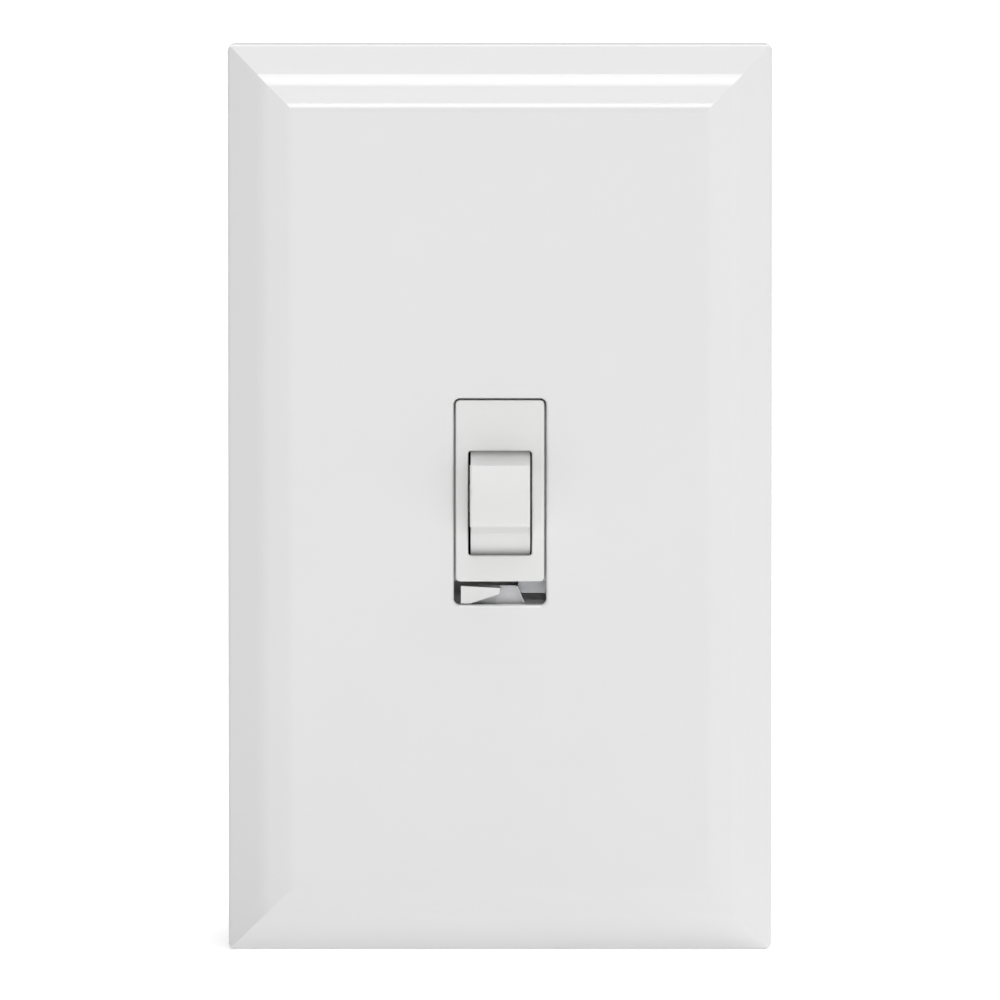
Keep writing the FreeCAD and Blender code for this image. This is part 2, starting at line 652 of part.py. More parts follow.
def make_strap():
    """Steel strap: joggled plate round the toggle with two legs on the flange."""
    front_y = ISLAND_FRONT_Y + ISLAND_WALL
    centre = box(half(STRAP_HALF_W), (front_y, front_y + STRAP_T), STRAP_Z)
    parts = [centre]
    for end, edge in ((-1, STRAP_Z[0]), (1, STRAP_Z[1])):
        parts.append(box(half(LEG_HALF_W), (front_y, STRAP_T), sorted((edge, edge - end * STRAP_T))))
        parts.append(box(half(LEG_HALF_W), (0, STRAP_T), sorted((edge - end * STRAP_T, end * LEG_END_Z))))
    strap = join(parts)
    strap = strap.cut(box(half(STRAP_HOLE_HALF_W), STRAP_CUT_Y, STRAP_HOLE_Z))
    strap = strap.cut(box(half(STRAP_WINDOW_HALF_W), STRAP_FRONT_Y, STRAP_WINDOW_Z))
    # Its hole runs down behind the pry ramp and leaves a tab on the right
    strap = strap.cut(box(STRAP_NOTCH_X, STRAP_FRONT_Y, (STRAP_WINDOW_Z[0], STRAP_HOLE_Z[0] + PAST)))
    tab_edge = [edge for edge in edges_at_y(strap, front_y, STRAP_HALF_W, -STRAP_Z[0])
                if abs(edge.BoundBox.Center.z - STRAP_WINDOW_Z[1]) < TOUCH]
    strap = strap.makeChamfer(STRAP_TAB_CHAMFER, tab_edge)
    # The side is open for the axle's end and the contact finger
    strap = strap.cut(box((0, STRAP_HALF_W + PAST), STRAP_CUT_Y, half(STRAP_SIDE_GAP_HALF_H)))
    for z in (-BRIDGE_SCREW_Z, BRIDGE_SCREW_Z):
        strap = strap.cut(along_y(BRIDGE_POST_R + LOOSE_GAP, 0, z, STRAP_HOLE_Y))
    return strap.cut(along_y(TERMINAL_SCREW_R + THREAD_GAP, 0, GROUND_SCREW_Z, STRAP_HOLE_Y))


def make_plate_latch():
    """Steel leaf in the pry slot, its slanted right edge folded towards the room."""
    leaf = prism([V(x, LATCH_Y[0], z) for x, z in LATCH_OUTLINE], V(0, LATCH_Y[1] - LATCH_Y[0], 0))
    top_x, top_z = LATCH_OUTLINE[1]
    low_x, low_z = LATCH_OUTLINE[2]
    lip_points = [(top_x - LATCH_LIP_T, top_z), (top_x, top_z)]
    lip_points += [(low_x, low_z), (low_x - LATCH_LIP_T, low_z)]
    lip = prism([V(x, LATCH_LIP_Y, z) for x, z in lip_points], V(0, LATCH_Y[1] - LATCH_LIP_Y, 0))
    return join([leaf, lip])


def make_line_terminal():
    """Brass terminal with a raised shelf for the leaf's root."""
    step_z = (SHELF_Z[1] - (TERMINAL_Y[1] - TERMINAL_Y[0]), SHELF_Z[1])
    parts = [box(TERMINAL_X, TERMINAL_Y, (step_z[0], TERMINAL_OUTER_Z))]
    parts.append(box(ARM_X, (TERMINAL_Y[0], SHELF_Y[1]), step_z))
    parts.append(box(ARM_X, SHELF_Y, SHELF_Z))
    terminal = join(parts)
    hole_r = TERMINAL_SCREW_R + THREAD_GAP
    terminal = terminal.cut(along_y(hole_r, TERMINAL_SCREW_X, TERMINAL_Z, TERMINAL_HOLE_Y))
    return terminal.cut(along_y(RIVET_TAIL_HOLE_R, CONTACT_X, RIVET_Z, THROUGH_Y))


def make_load_terminal():
    """Flat brass terminal under the fixed contact."""
    terminal = box(TERMINAL_X, TERMINAL_Y, (-TERMINAL_OUTER_Z, LOAD_TOP_Z))
    hole_r = TERMINAL_SCREW_R + THREAD_GAP
    return terminal.cut(along_y(hole_r, TERMINAL_SCREW_X, -TERMINAL_Z, TERMINAL_HOLE_Y))


def make_neutral_bar():
    """Flat brass splice bar on the left."""
    bar = box((-TERMINAL_X[1], -TERMINAL_X[0] - NEUTRAL_INSET), TERMINAL_Y, half(TERMINAL_OUTER_Z))
    for z in (-TERMINAL_Z, TERMINAL_Z):
        bar = bar.cut(along_y(TERMINAL_SCREW_R + THREAD_GAP, -TERMINAL_SCREW_X, z, TERMINAL_HOLE_Y))
    return bar


def make_pressure_plates(x):
    """Two wire clamping plates at one side."""
    plates = []
    plate_y = (TERMINAL_Y[1] + WIRE_GAP, TERMINAL_Y[1] + WIRE_GAP + PRESSURE_T)
    for z in (-TERMINAL_Z, TERMINAL_Z):
        plate = box((x - PRESSURE_HALF, x + PRESSURE_HALF), plate_y, (z - PRESSURE_HALF, z + PRESSURE_HALF))
        plates.append(plate.cut(along_y(TERMINAL_SCREW_R + THREAD_GAP, x, z, TERMINAL_HOLE_Y)))
    return group(plates)


def make_terminal_screws(x):
    """Two terminal screws at one side, heads to the rear."""
    seat_y = TERMINAL_Y[1] + WIRE_GAP + PRESSURE_T
    screws = []
    for z in (-TERMINAL_Z, TERMINAL_Z):
        screws.append(screw(x, z, seat_y, TERMINAL_SCREW_TIP_Y, TERMINAL_SCREW_R,
                            TERMINAL_HEAD_R, TERMINAL_HEAD_H))
    return group(screws)


def make_rear_cover():
    """Rear cup with case screw posts, cable windows and saddles."""
    cup = rounded_box(half(BODY_W / 2), (SPLIT_Y, REAR_Y), half(BODY_H / 2), BODY_CORNER_R)
    cup = cup.makeFillet(COVER_EDGE_R, rim_at(cup, REAR_Y))
    inner_w = BODY_W / 2 - BODY_WALL
    inner_h = BODY_H / 2 - BODY_WALL
    cup = cup.cut(box(half(inner_w), (SPLIT_Y - PAST, REAR_Y - BODY_WALL), half(inner_h)))
    posts = [along_y(CASE_POST_R, x, z, (SPLIT_Y, REAR_Y - BODY_WALL / 2)) for x, z in CASE_SCREWS]
    saddle = make_saddle()
    cup = join([cup] + posts + [saddle, half_turn(saddle)])
    window_x = (-ENTRY_X - ENTRY_HALF_W, -ENTRY_X + ENTRY_HALF_W)
    window = box(window_x, ENTRY_Y, (WINDOW_START_Z, BODY_H / 2 + PAST))
    cuts = [window, half_turn(window)]
    # Recessed panel, wire strip gauge and ejector marks in the rear face
    panel = rounded_box(half(PANEL_HALF_W), (REAR_Y - PANEL_DEPTH, REAR_Y + PAST), PANEL_Z, PANEL_R)
    gauge = rounded_box(GAUGE_X, (REAR_Y - GAUGE_DEPTH, REAR_Y + PAST), GAUGE_Z, GAUGE_R)
    cuts += [panel, gauge]
    for x, z in EJECTOR_PLACES:
        cuts.append(along_y(EJECTOR_R, x, z, (REAR_Y - EJECTOR_DEPTH, REAR_Y + PAST)))
    for z in SIDE_PANEL_Z:
        for side in (-1, 1):
            recess_x = sorted((side * (BODY_W / 2 - SIDE_PANEL_DEPTH), side * (BODY_W / 2 + PAST)))
            cuts.append(box(recess_x, SIDE_PANEL_Y, (z - SIDE_PANEL_HALF_H, z + SIDE_PANEL_HALF_H)))
    for x, z in CASE_SCREWS:
        cuts.append(along_y(CASE_SCREW_R + LOOSE_GAP, x, z, (SPLIT_Y - PAST, REAR_Y + PAST)))
        cuts.append(along_y(CASE_BORE_R, x, z, (REAR_Y - CASE_HEAD_H - LOOSE_GAP, REAR_Y + PAST)))
    for offset in (-BAR_SCREW_OFFSET, BAR_SCREW_OFFSET):
        hole_y = (ENTRY_Y[1] - PAST, BAR_SCREW_HOLE_END_Y)
        hole = along_y(BAR_SCREW_R + THREAD_GAP, -ENTRY_X + offset, sum(BAR_Z) / 2, hole_y)
        cuts += [hole, half_turn(hole)]
    for cut in cuts:
        cup = cup.cut(cut)
    return cup


def make_saddle():
    """Shelf that the upper cable lies on, with bosses for the bar's screws."""
    shelf_x = (-ENTRY_X - SADDLE_HALF_W, -ENTRY_X + SADDLE_HALF_W)
    shelf = box(shelf_x, (ENTRY_Y[1], ENTRY_Y[1] + SADDLE_T), (BODY_H / 2 - OVERLAP, SADDLE_REACH_Z))
    parts = [shelf]
    middle_z = sum(BAR_Z) / 2
    for offset in (-BAR_SCREW_OFFSET, BAR_SCREW_OFFSET):
        place = -ENTRY_X + offset
        rib_x = (place - SADDLE_RIB_T / 2, place + SADDLE_RIB_T / 2)
        parts.append(along_y(SADDLE_BOSS_R, place, middle_z, (ENTRY_Y[1] + PAST, SADDLE_BOSS_END_Y)))
        rib_y = (ENTRY_Y[1] + PAST, BAR_SCREW_HOLE_END_Y)
        parts.append(box(rib_x, rib_y, (BODY_H / 2 - OVERLAP, middle_z)))
    for rib in (-GRIP_PITCH, 0, GRIP_PITCH):
        grip_x = (shelf_x[0] + GRIP_INSET, shelf_x[1] - GRIP_INSET)
        parts.append(along_x(GRIP_R, ENTRY_Y[1], middle_z + rib, grip_x))
    return join(parts)


def make_case_screws():
    """Four long screws, heads in the rear cover's counterbores."""
    screws = []
    for x, z in CASE_SCREWS:
        seat = REAR_Y - CASE_HEAD_H - LOOSE_GAP
        screws.append(screw(x, z, seat, CASE_SCREW_TIP_Y, CASE_SCREW_R, CASE_HEAD_R, CASE_HEAD_H))
    return group(screws)


def make_cable_bar():
    """Upper strain relief bar with a grip rib."""
    bar = box((-ENTRY_X - SADDLE_HALF_W, -ENTRY_X + SADDLE_HALF_W), BAR_Y, BAR_Z)
    bar = bar.makeFillet(BAR_EDGE_R, edges_along(bar, Y_AXIS))
    grip_x = (-ENTRY_X - ENTRY_HALF_W + OVERLAP, -ENTRY_X + ENTRY_HALF_W - OVERLAP)
    bar = bar.fuse(along_x(BAR_GRIP_R, BAR_Y[1], sum(BAR_Z) / 2, grip_x))
    for offset in (-BAR_SCREW_OFFSET, BAR_SCREW_OFFSET):
        bar = bar.cut(along_y(BAR_SCREW_R + THREAD_GAP, -ENTRY_X + offset, sum(BAR_Z) / 2, THROUGH_Y))
    return bar


def make_cable_bar_screws():
    """Two screws of the upper bar, heads towards the room."""
    screws = []
    for offset in (-BAR_SCREW_OFFSET, BAR_SCREW_OFFSET):
        place = -ENTRY_X + offset
        screws.append(screw(place, sum(BAR_Z) / 2, BAR_Y[0], BAR_SCREW_TIP_Y, BAR_SCREW_R,
                            BAR_HEAD_R, BAR_HEAD_H))
    return group(screws)


def make_swing_ring():
    """Retaining ring near the tip of the upper swing clamp's screw."""
    ring = along_y(RING_R, SWING_X, SWING_Z, RING_Y)
    return ring.cut(along_y(SWING_SCREW_R, SWING_X, SWING_Z, THROUGH_Y))


def make_swing_wing():
    """Upper wing: threaded hub with an arm stowed towards the middle."""
    hub = along_y(WING_HUB_R, SWING_X, SWING_Z, WING_Y)
    arm = box((SWING_X - WING_REACH, SWING_X), (WING_Y[0], WING_Y[0] + WING_ARM_T),
              (SWING_Z - WING_HALF_H, SWING_Z + WING_HALF_H))
    arm = arm.makeFillet(WING_ARM_R, edges_along(arm, Y_AXIS))
    web_y = (WING_Y[0], WING_Y[0] + WING_ARM_T + WING_WEB_RISE)
    web_x = (SWING_X - WING_REACH + WING_WEB_INSET, SWING_X)
    web = box(web_x, web_y, (SWING_Z - WING_WEB_T / 2, SWING_Z + WING_WEB_T / 2))
    wing = join([hub, arm, web])
    return wing.cut(along_y(SWING_HOLE_R, SWING_X, SWING_Z, THROUGH_Y))


upper_swing_screw = screw(SWING_X, SWING_Z, SWING_SEAT_Y, SWING_TIP_Y, SWING_SCREW_R,
                          SWING_HEAD_R, SWING_HEAD_H)
upper_ring = make_swing_ring()
upper_wing = make_swing_wing()
upper_bar = make_cable_bar()
upper_bar_screws = make_cable_bar_screws()
moving_y = (ARM_FRONT_Y - (ARM_FRONT_Y - TERMINAL_Y[1] - CONTACT_GAP) / 2, ARM_FRONT_Y)
fixed_y = (TERMINAL_Y[1], moving_y[0] - CONTACT_GAP)
arm_rear_y = ARM_FRONT_Y + ARM_T
rivet = join([
    along_y(RIVET_HEAD_R, CONTACT_X, RIVET_Z, (arm_rear_y, arm_rear_y + RIVET_HEAD_T)),
    along_y(RIVET_SHANK_R, CONTACT_X, RIVET_Z, (RIVET_TAIL_Y[0] + LOOSE_GAP, arm_rear_y + LOOSE_GAP)),
    along_y(RIVET_TAIL_R, CONTACT_X, RIVET_Z, RIVET_TAIL_Y),
])
contact_leaf = box(ARM_X, (ARM_FRONT_Y, arm_rear_y), ARM_Z)
contact_leaf = contact_leaf.cut(along_y(RIVET_SHANK_R, CONTACT_X, RIVET_Z, THROUGH_Y))

nodes = {
    "wall_plate": make_wall_plate(),
    "front_housing": make_front_housing(),
    "toggle_lever": make_toggle_lever(),
    "plate_latch": make_plate_latch(),
    "mounting_strap": make_strap(),
    "toggle_spring": make_toggle_spring(),
    "bearing_bridge": make_bearing_bridge(),
    "bridge_screws": make_bridge_screws(),
    "insulating_barrier": make_barrier(),
    "contact_arm": contact_leaf,
    "moving_contact": along_y(CONTACT_R, CONTACT_X, CONTACT_Z, moving_y),
    "arm_rivet": rivet,
    "line_terminal": make_line_terminal(),
    "load_terminal": make_load_terminal(),
    "fixed_contact": along_y(CONTACT_R, CONTACT_X, CONTACT_Z, fixed_y),
    "terminal_screws": make_terminal_screws(TERMINAL_SCREW_X),
    "pressure_plates": make_pressure_plates(TERMINAL_SCREW_X),
    "neutral_bar": make_neutral_bar(),
    "neutral_screws": make_terminal_screws(-TERMINAL_SCREW_X),
    "neutral_plates": make_pressure_plates(-TERMINAL_SCREW_X),
    "ground_screw": screw(0, GROUND_SCREW_Z, STRAP_T, GROUND_SCREW_TIP_Y, TERMINAL_SCREW_R,
                          TERMINAL_HEAD_R, TERMINAL_HEAD_H),
    "rear_cover": make_rear_cover(),
    "case_screws": make_case_screws(),
    "cable_bar_upper": upper_bar,
    "cable_bar_screws_upper": upper_bar_screws,
    "cable_bar_lower": half_turn(upper_bar),
    "cable_bar_screws_lower": half_turn(upper_bar_screws),
    "swing_screw_upper": upper_swing_screw,
    "swing_ring_upper": upper_ring,
    "swing_wing_upper": upper_wing,
    "swing_screw_lower": half_turn(upper_swing_screw),
    "swing_ring_lower": half_turn(upper_ring),
    "swing_wing_lower": half_turn(upper_wing),
}

os.makedirs("parts", exist_ok=True)
for name, shape in nodes.items():
    shape.exportStep("parts/" + name + ".step")
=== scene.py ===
import json
import math

import bmesh
import bpy
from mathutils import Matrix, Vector


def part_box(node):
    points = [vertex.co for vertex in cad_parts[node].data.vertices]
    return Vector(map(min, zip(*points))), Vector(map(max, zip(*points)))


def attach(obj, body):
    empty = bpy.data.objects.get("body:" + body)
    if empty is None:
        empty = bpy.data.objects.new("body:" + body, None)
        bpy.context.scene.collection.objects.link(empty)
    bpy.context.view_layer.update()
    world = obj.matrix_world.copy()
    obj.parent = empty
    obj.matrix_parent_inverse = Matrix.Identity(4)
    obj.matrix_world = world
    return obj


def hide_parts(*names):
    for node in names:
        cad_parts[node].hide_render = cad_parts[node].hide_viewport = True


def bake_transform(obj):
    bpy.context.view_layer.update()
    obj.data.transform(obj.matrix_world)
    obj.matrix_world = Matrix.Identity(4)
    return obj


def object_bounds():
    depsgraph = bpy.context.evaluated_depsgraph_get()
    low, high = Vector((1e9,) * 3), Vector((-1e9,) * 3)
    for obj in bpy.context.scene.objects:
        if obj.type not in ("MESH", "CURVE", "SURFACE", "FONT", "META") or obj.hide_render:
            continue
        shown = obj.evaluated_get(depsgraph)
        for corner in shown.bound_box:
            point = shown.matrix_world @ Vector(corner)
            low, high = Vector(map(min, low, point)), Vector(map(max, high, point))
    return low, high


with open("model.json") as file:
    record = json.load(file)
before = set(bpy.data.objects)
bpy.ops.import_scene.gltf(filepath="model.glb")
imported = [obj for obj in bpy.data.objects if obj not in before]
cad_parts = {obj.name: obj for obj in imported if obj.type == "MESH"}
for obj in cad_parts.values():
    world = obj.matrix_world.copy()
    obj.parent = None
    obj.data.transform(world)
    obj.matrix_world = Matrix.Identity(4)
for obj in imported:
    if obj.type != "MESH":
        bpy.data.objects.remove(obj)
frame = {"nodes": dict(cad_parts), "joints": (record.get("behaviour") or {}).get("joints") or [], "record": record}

CAD_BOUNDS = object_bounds()
MM = 0.001

# Over-centre spring
TOGGLE_TILT = math.radians(5.2)
SPRING_SEAT = 5.55 * MM
SPRING_RADIUS = 1.575 * MM
SPRING_WIRE_R = 0.2 * MM
SPRING_TURNS = 11
SPRING_CLOSED_TURNS = 1.1
SPRING_CLOSED_PITCH = 2.1
SPRING_STEPS_PER_TURN = 28
WIRE_SIDES = 10

# Screws with real threads: head height, head radius, thread radius and pitch
SWING_HEAD_H = 1.5 * MM
SWING_THREAD_R = 1.6 * MM
SWING_PITCH = 0.8 * MM
BAR_HEAD_H = 1.6 * MM
BAR_HEAD_R = 2.0 * MM
BAR_THREAD_R = 1.2 * MM
BAR_PITCH = 0.6 * MM
THREAD_CORE = 0.82
THREAD_FLANK = 1.35
THREAD_SIDES = 28
THREAD_ROWS_PER_PITCH = 8
THREAD_START = 0.08 * MM
HEAD_MARGIN = 0.02 * MM
WELD = 0.001 * MM
SHARP_EDGE = math.radians(35)

# Floor, light and camera
FLOOR_REACH = 6.0
FLOOR_GLOW = 0.42
OVERHEAD_ENERGY = 2.05
OVERHEAD_ANGLE = math.radians(50)
OVERHEAD_TURN = (math.radians(-4), math.radians(13), 0)
SKY_LEVEL = 0.25
SKY_SLOPE = 0.22
CAMERA_DISTANCE = 2.0
CAMERA_ELEVATION = math.radians(4.0)
CAMERA_DROP = 0.46 * MM
FRAME_WIDTH = 0.1286
SENSOR_WIDTH = 36.0


# ---------------------------------------------------------------- materials

class Surface:
    """A node-based material under construction."""

    def __init__(self, name):
        self.material = bpy.data.materials.new(name)
        self.material.use_nodes = True
        self.tree = self.material.node_tree
        self.tree.nodes.clear()
        self.out = self.node("ShaderNodeOutputMaterial")
        self.shader = self.node("ShaderNodeBsdfPrincipled")
        self.link(self.shader.outputs["BSDF"], self.out.inputs["Surface"])
        self.place = self.node("ShaderNodeTexCoord").outputs["Object"]

    def node(self, kind):
        return self.tree.nodes.new(kind)

    def link(self, start, end):
        self.tree.links.new(start, end)

    def stretched(self, scale):
        mapping = self.node("ShaderNodeMapping")
        mapping.inputs["Scale"].default_value = scale
        self.link(self.place, mapping.inputs["Vector"])
        return mapping.outputs["Vector"]

    def noise(self, scale, detail=3.0, roughness=0.5, stretch=(1, 1, 1)):
        texture = self.node("ShaderNodeTexNoise")
        texture.inputs["Scale"].default_value = scale
        texture.inputs["Detail"].default_value = detail
        texture.inputs["Roughness"].default_value = roughness
        self.link(self.stretched(stretch), texture.inputs["Vector"])
        return texture.outputs["Fac"]

    def ramp(self, source, stops):
        made = self.node("ShaderNodeValToRGB")
        elements = made.color_ramp.elements
        while len(elements) < len(stops):
            elements.new(0.5)
        for element, (position, colour) in zip(elements, stops):
            element.position = position
            element.color = (*colour, 1.0)
        self.link(source, made.inputs["Fac"])
        return made.outputs["Color"]

    def map(self, source, low, high):
        made = self.node("ShaderNodeMapRange")
        made.inputs["To Min"].default_value = low
        made.inputs["To Max"].default_value = high
        self.link(source, made.inputs["Value"])
        return made.outputs["Result"]

    def bump(self, source, strength, distance):
        made = self.node("ShaderNodeBump")
        made.inputs["Strength"].default_value = strength
        made.inputs["Distance"].default_value = distance
        self.link(source, made.inputs["Height"])
        self.link(made.outputs["Normal"], self.shader.inputs["Normal"])

    def colour(self, source):
        self.link(source, self.shader.inputs["Base Color"])

    def set(self, **values):
        for key, value in values.items():
            self.shader.inputs[key.replace("_", " ")].default_value = value


def scaled(colour, factor):
    return tuple(min(1.0, channel * factor) for channel in colour)


def plastic(name, colour, roughness, variation, grain, grain_depth):
    """Moulded plastic: faint flow mottling, fine surface texture, slightly uneven gloss."""
    s = Surface(name)
    mottle = s.noise(60.0, 4.0)
    s.colour(s.ramp(mottle, ((0.3, scaled(colour, 1 - variation)), (0.7, scaled(colour, 1 + variation)))))
    s.link(s.map(s.noise(140.0, 3.0), roughness * 0.92, roughness * 1.08), s.shader.inputs["Roughness"])
    s.bump(s.noise(grain, 2.0), 0.25, grain_depth)
    return s.material


def metal(name, colour, roughness, stretch=(1, 1, 1), scale=400.0, variation=0.08, depth=0.000012):
    """Plated or bare metal with drawing lines or spangle, and patches of duller skin."""
    s = Surface(name)
    grain = s.noise(scale, 5.0, 0.6, stretch)
    s.colour(s.ramp(grain, ((0.3, scaled(colour, 1 - variation)), (0.7, scaled(colour, 1 + variation)))))
    s.link(s.map(s.noise(90.0, 4.0), roughness * 0.75, roughness * 1.3), s.shader.inputs["Roughness"])
    s.bump(grain, 0.3, depth)
    s.set(Metallic=1.0)
    return s.material


def fibre(name, colour):
    """Pressed fibre sheet with long strands."""
    s = Surface(name)
    strands = s.noise(260.0, 6.0, 0.65, (1, 1, 0.15))
    s.colour(s.ramp(strands, ((0.3, scaled(colour, 0.7)), (0.72, scaled(colour, 1.25)))))
    s.bump(strands, 0.5, 0.00003)
    s.set(Roughness=0.75)
    return s.material


def dyed(name, colour):
    """Green dyed plating over steel, its tone varying at random in clouds."""
    s = Surface(name)
    cloud = s.noise(350.0, 4.0)
    s.colour(s.ramp(cloud, ((0.3, scaled(colour, 0.75)), (0.7, scaled(colour, 1.3)))))
    s.bump(cloud, 0.2, 0.00001)
    s.set(Metallic=0.6, Roughness=0.32)
    return s.material


MATERIALS = {
    "plate_plastic": plastic("plate_plastic", (0.645, 0.645, 0.645), 0.22, 0.006, 1400.0, 0.000003),
    "housing_plastic": plastic("housing_plastic", (0.64, 0.64, 0.635), 0.36, 0.010, 1100.0, 0.000006),
    "toggle_plastic": plastic("toggle_plastic", (0.635, 0.635, 0.632), 0.42, 0.008, 1200.0, 0.000005),
    "cover_plastic": plastic("cover_plastic", (0.62, 0.62, 0.61), 0.50, 0.015, 800.0, 0.00002),
    "bar_plastic": plastic("bar_plastic", (0.60, 0.60, 0.59), 0.48, 0.015, 800.0, 0.00002),
    "bridge_plastic": plastic("bridge_plastic", (0.035, 0.035, 0.038), 0.45, 0.15, 700.0, 0.00002),
    "fibre_sheet": fibre("fibre_sheet", (0.20, 0.11, 0.06)),
    "latch_steel": metal("latch_steel", (0.50, 0.50, 0.51), 0.42, (0.2, 1, 1), 900.0),
    "strap_steel": metal("strap_steel", (0.40, 0.405, 0.42), 0.40, (1, 1, 1), 500.0, 0.10),
    "spring_steel": metal("spring_steel", (0.48, 0.48, 0.49), 0.30, (1, 1, 1), 900.0),
    "screw_steel": metal("screw_steel", (0.60, 0.61, 0.63), 0.30, (1, 0.3, 1), 700.0),
    "plate_steel": metal("plate_steel", (0.58, 0.59, 0.61), 0.34, (0.3, 1, 1), 600.0),
    "silver_screw": metal("silver_screw", (0.68, 0.67, 0.65), 0.26, (1, 0.3, 1), 700.0),
    "ring_steel": metal("ring_steel", (0.30, 0.31, 0.33), 0.36, (1, 1, 1), 800.0),
    "wing_zinc": metal("wing_zinc", (0.52, 0.53, 0.55), 0.48, (1, 1, 1), 260.0, 0.12, 0.00003),
    "spring_bronze": metal("spring_bronze", (0.62, 0.36, 0.18), 0.32, (1, 1, 0.1), 700.0),
    "terminal_brass": metal("terminal_brass", (0.66, 0.46, 0.18), 0.33, (1, 1, 0.15), 600.0),
    "rivet_brass": metal("rivet_brass", (0.64, 0.45, 0.19), 0.30, (1, 1, 1), 800.0),
    "brass_screw": metal("brass_screw", (0.68, 0.49, 0.20), 0.26, (1, 0.3, 1), 700.0),
    "silver_contact": metal("silver_contact", (0.80, 0.79, 0.76), 0.28, (1, 1, 1), 600.0, 0.05),
    "green_screw": dyed("green_screw", (0.03, 0.26, 0.08)),
}


def paint(obj, slot):
    obj.data.materials.clear()
    obj.data.materials.append(MATERIALS[slot])


SLOTS = {entry["node"]: entry["material_slot"] for entry in frame["record"]["subparts"]}
BODY_OF = {node: body for body, nodes in frame["record"]["behaviour"]["bodies"].items() for node in nodes}
for node_name, node_object in frame["nodes"].items():
    paint(node_object, SLOTS[node_name])


# ------------------------------------------------------------------- pieces

def mesh_object(name, build, slot):
    """New object from a bmesh filled by build."""
    bm = bmesh.new()
    build(bm)
    bmesh.ops.recalc_face_normals(bm, faces=bm.faces)
    mesh = bpy.data.meshes.new(name)
    bm.to_mesh(mesh)
    bm.free()
    for polygon in mesh.polygons:
        polygon.use_smooth = True
    obj = bpy.data.objects.new(name, mesh)
    bpy.context.scene.collection.objects.link(obj)
    obj.data.materials.append(MATERIALS[slot])
    return obj


def skin(bm, rings):
    """Tube through rings of points, closed at both ends."""
    rows = [[bm.verts.new(point) for point in ring] for ring in rings]
    count = len(rows[0])
    for first, second in zip(rows, rows[1:]):
        for i in range(count):
            j = (i + 1) % count
            bm.faces.new((first[i], first[j], second[j], second[i]))
    bm.faces.new(list(reversed(rows[0])))
    bm.faces.new(rows[-1])


def coil_rings(front, rear, radius, wire, turns):
    """Rings of a coil spring between two points, its end turns closed up."""
    axis = (rear - front).normalized()
    side = axis.orthogonal().normalized()
    up = axis.cross(side)
    length = (rear - front).length
    centres = []
    steps = turns * SPRING_STEPS_PER_TURN
    closed = SPRING_CLOSED_TURNS
    pitch_end = SPRING_CLOSED_PITCH * wire
    span = length - 2 * wire - 2 * closed * pitch_end
    for i in range(steps + 1):
        t = i / SPRING_STEPS_PER_TURN
        if t < closed:
            along = t * pitch_end
        elif t > turns - closed:
            along = length - 2 * wire - (turns - t) * pitch_end
        else:
            along = closed * pitch_end + (t - closed) / (turns - 2 * closed) * span
        angle = 2 * math.pi * t
        around_axis = side * (radius * math.cos(angle)) + up * (radius * math.sin(angle))
        centres.append(front + axis * (along + wire) + around_axis)
    rings = []
    for i, centre in enumerate(centres):
        ahead = centres[min(i + 1, steps)]
        behind = centres[max(i - 1, 0)]
        tangent = (ahead - behind).normalized()
        middle = front + axis * (centre - front).dot(axis)
        outward = (centre - middle).normalized()
        across = tangent.cross(outward).normalized()
        ring = []
        for k in range(WIRE_SIDES):
            turn = 2 * math.pi * k / WIRE_SIDES
            ring.append(centre + outward * (wire * math.cos(turn)) + across * (wire * math.sin(turn)))
        rings.append(ring)
    return rings


def make_spring():
    """Straight coil between the bridge and the toggle's hub, set at the toggle's rest tilt."""
    rear_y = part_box("toggle_spring")[1].y
    pivot = Vector(next(j for j in frame["joints"] if j["name"] == "toggle_throw")["pos_m"])
    to_seat = Vector((0, SPRING_SEAT * math.cos(TOGGLE_TILT), -SPRING_SEAT * math.sin(TOGGLE_TILT)))
    front = pivot + to_seat
    rear = Vector((0, rear_y, pivot.z))
    rings = coil_rings(front, rear, SPRING_RADIUS, SPRING_WIRE_R, SPRING_TURNS)
    spring = mesh_object("over_centre_coil", lambda bm: skin(bm, rings), "spring_steel")
    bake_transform(spring)
    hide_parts("toggle_spring")


def thread_rings(x, z, y_start, y_end, core, crest, pitch):
    """Rings of a screw thread along Y, run out at both ends."""
    rings = []
    length = y_end - y_start
    rows = int(abs(length) / pitch * THREAD_ROWS_PER_PITCH)
    for i in range(rows + 1):
        y = y_start + length * i / rows
        from_end = min(i, rows - i) / THREAD_ROWS_PER_PITCH
        depth = (crest - core) * min(1.0, from_end)
        ring = []
        for k in range(THREAD_SIDES):
            phase = (abs(y - y_start) / pitch - k / THREAD_SIDES) % 1.0
            wave = min(1.0, THREAD_FLANK * (1.0 - abs(2 * phase - 1.0)))
            radius = core + depth * wave
            angle = 2 * math.pi * k / THREAD_SIDES
            ring.append(Vector((x + radius * math.cos(angle), y, z + radius * math.sin(angle))))
        rings.append(ring)
    return rings


def head_faces(bm, node, seat_y, outward, keep):
    """Copies the CAD screw heads into bm, leaving out their plain shanks."""
    source = frame["nodes"][node].data
    copies = {}
    for polygon in source.polygons:
        points = [source.vertices[i].co for i in polygon.vertices]
        if all((point.y - seat_y) * outward >= -keep for point in points):
            corners = []
            for i in polygon.vertices:
                if i not in copies:
                    copies[i] = bm.verts.new(source.vertices[i].co)
                corners.append(copies[i])
            if len(set(corners)) == len(corners) and bm.faces.get(corners) is None:
                bm.faces.new(corners)


